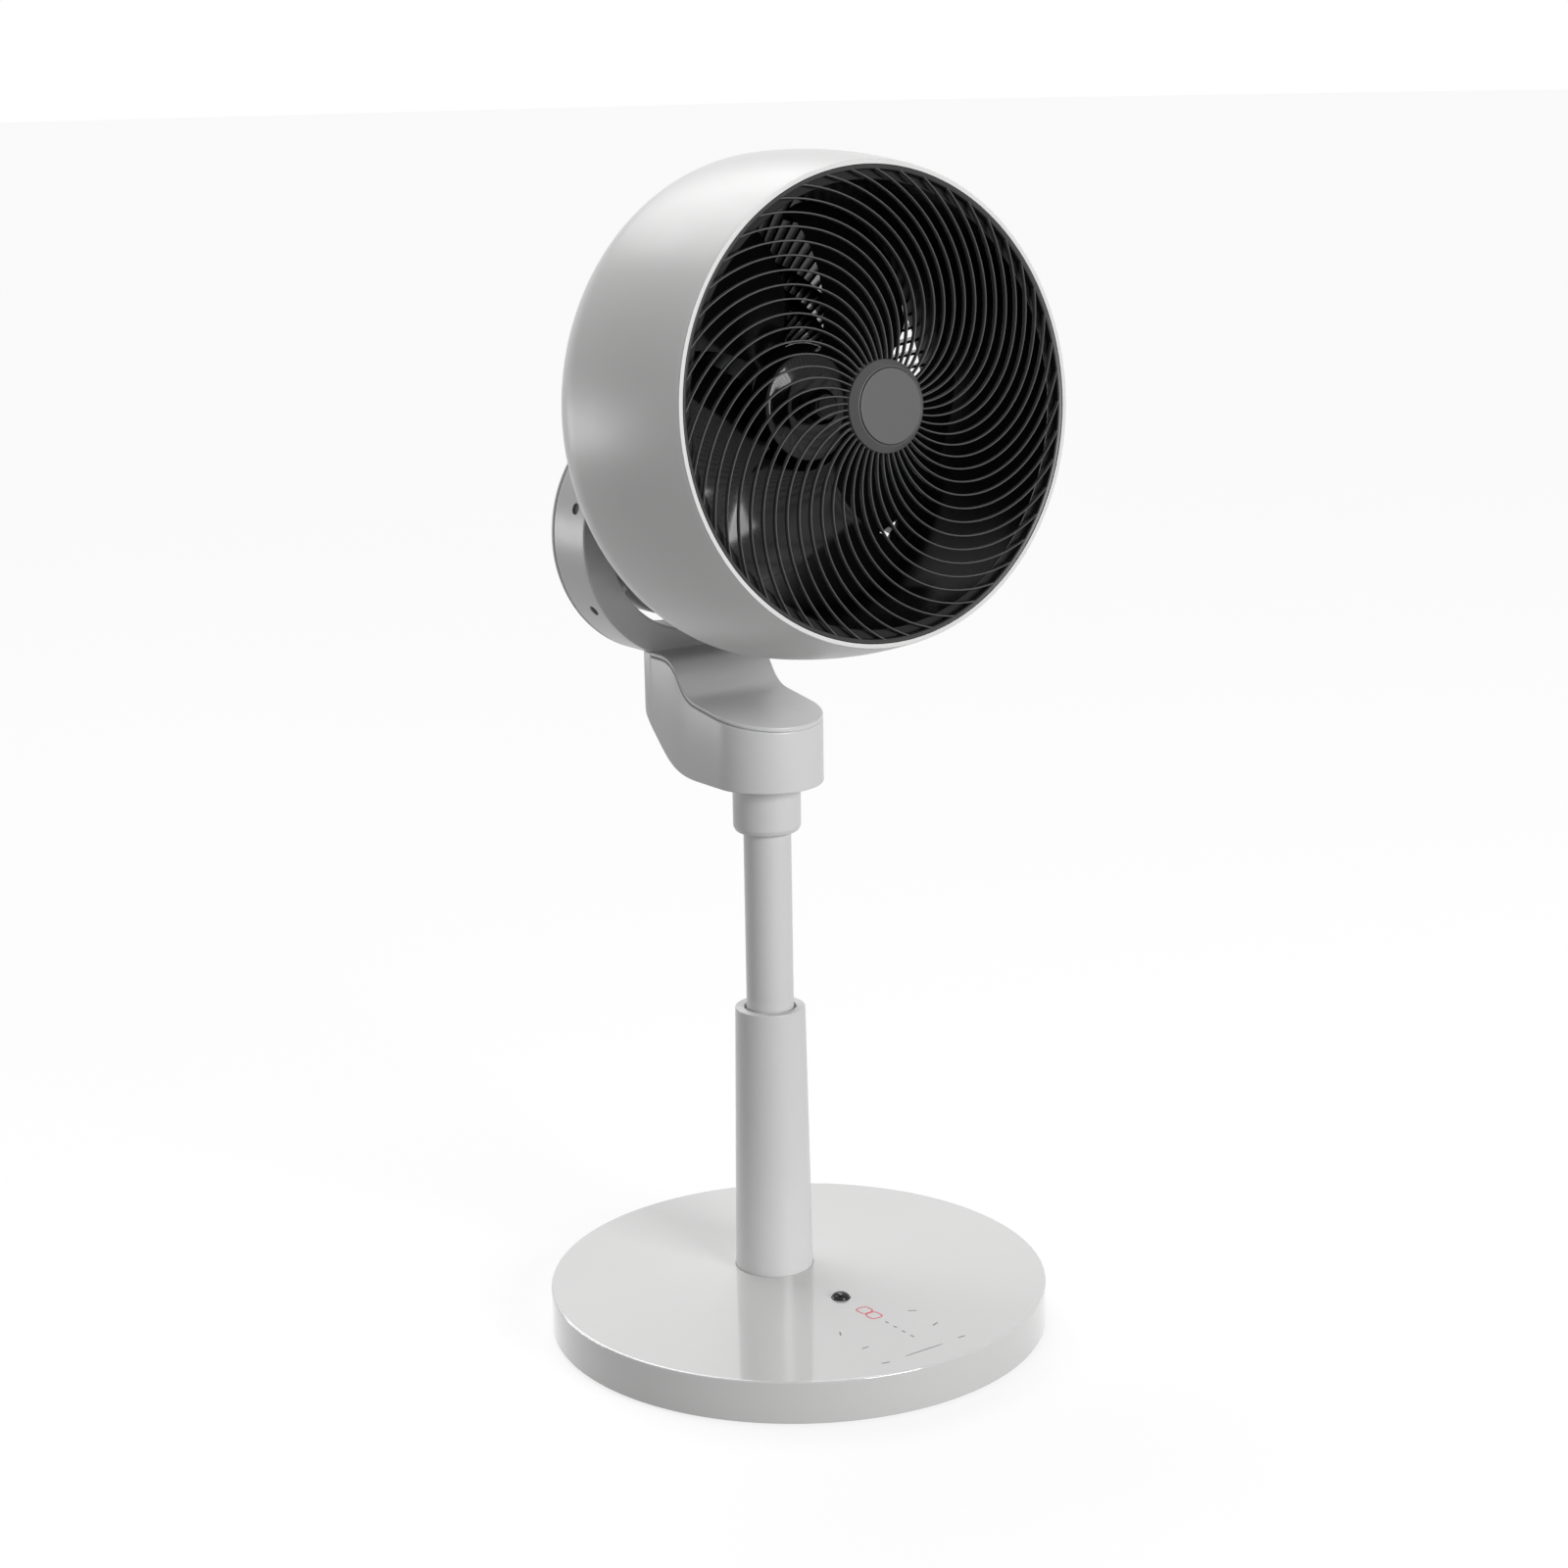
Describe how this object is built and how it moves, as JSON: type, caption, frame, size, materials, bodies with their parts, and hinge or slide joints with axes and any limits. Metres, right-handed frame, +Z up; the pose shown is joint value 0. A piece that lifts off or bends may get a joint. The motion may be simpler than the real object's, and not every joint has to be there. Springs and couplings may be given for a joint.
{
  "type": "air circulator fan",
  "caption": "Free-standing air circulator: a ball-shaped fan head with a spiral grille tilts and pans on a telescopic column over a round base.",
  "frame": {"origin": "middle of the base's underside, on the surface the fan stands on", "axes": "+Z up; the fan blows towards -Y; +X to the right seen from the front"},
  "size_m": [0.3, 0.3, 0.6973],
  "materials": {
    "white_shell": "satin white moulding",
    "pale_column": "satin pale grey moulding",
    "duct_black": "fine-grained black moulding",
    "gloss_black": "gloss black moulding",
    "rib_grey": "satin mid grey moulding",
    "cap_grey": "satin mid grey disc",
    "steel": "plain steel",
    "screw_dark": "blackened steel",
    "rubber": "matt black rubber",
    "board_green": "circuit board lacquer",
    "gear_white": "unfilled acetal"
  },
  "bodies": {
    "base": {"base_cover": "white_shell", "base_plate": "duct_black", "base_weight": "steel", "foot_1": "rubber", "foot_2": "rubber", "foot_3": "rubber", "foot_4": "rubber", "base_screw_1": "screw_dark", "base_screw_2": "screw_dark", "base_screw_3": "screw_dark", "base_screw_4": "screw_dark", "column_socket": "steel", "socket_screw_1": "screw_dark", "socket_screw_2": "screw_dark", "socket_screw_3": "screw_dark", "column_bolt": "steel", "control_board": "board_green", "display_module": "gloss_black", "receiver_lens": "gloss_black", "power_inlet": "duct_black", "lower_tube": "pale_column", "tube_bush": "gear_white"},
    "column": {"upper_tube": "pale_column", "slide_shoe": "gear_white", "neck_collar": "pale_column", "pan_washer": "gear_white", "pan_gear": "gear_white", "spindle_clip": "steel"},
    "arm": {"neck_housing": "pale_column", "neck_lid": "pale_column", "pan_motor": "steel", "ring_arm": "pale_column", "ring_cover": "pale_column", "rim_screw_1": "screw_dark", "rim_screw_2": "screw_dark", "rim_screw_3": "screw_dark", "rim_screw_4": "screw_dark", "arm_screw_1": "screw_dark", "arm_screw_2": "screw_dark", "drive_drum": "pale_column", "drum_cover": "pale_column", "driver_board": "board_green", "tilt_motor": "steel", "pivot_cap": "pale_column"},
    "pinion": {"pan_pinion": "gear_white", "pan_shaft": "steel"},
    "head": {"tilt_shaft": "steel", "head_bracket": "pale_column", "bracket_screw_1": "screw_dark", "bracket_screw_2": "screw_dark", "bracket_screw_3": "screw_dark", "head_shell": "white_shell", "air_duct": "duct_black", "front_grille": "rib_grey", "hub_cap": "cap_grey", "rear_grille": "duct_black", "fan_motor": "steel"},
    "rotor": {"impeller": "gloss_black", "fan_shaft": "steel", "blade_nut": "duct_black"}
  },
  "joints": [
    {"name": "height_slide", "type": "slide", "parent": "base", "child": "column", "axis": [0, 0, 1], "range_m": [-0.1, 0]},
    {"name": "pan", "type": "hinge", "parent": "column", "child": "arm", "pos_m": [0, 0.025, 0.3316], "axis": [0, 0, 1], "range_deg": [-45, 45]},
    {"name": "pan_pinion", "type": "hinge", "parent": "arm", "child": "pinion", "pos_m": [0, 0.0525, 0.34], "axis": [0, 0, 1], "range_deg": [-121, 121]},
    {"name": "tilt", "type": "hinge", "parent": "arm", "child": "head", "pos_m": [0, 0.082, 0.53758], "axis": [-1, 0, 0], "range_deg": [-10, 60]},
    {"name": "fan_spin", "type": "hinge", "parent": "head", "child": "rotor", "pos_m": [0, -0.08947, 0.56222], "axis": [0, -0.9959, 0.0906], "continuous": true}
  ],
  "couplings": [
    {"joint": "pan_pinion", "follows": "pan", "ratio": 2.6667}
  ]
}
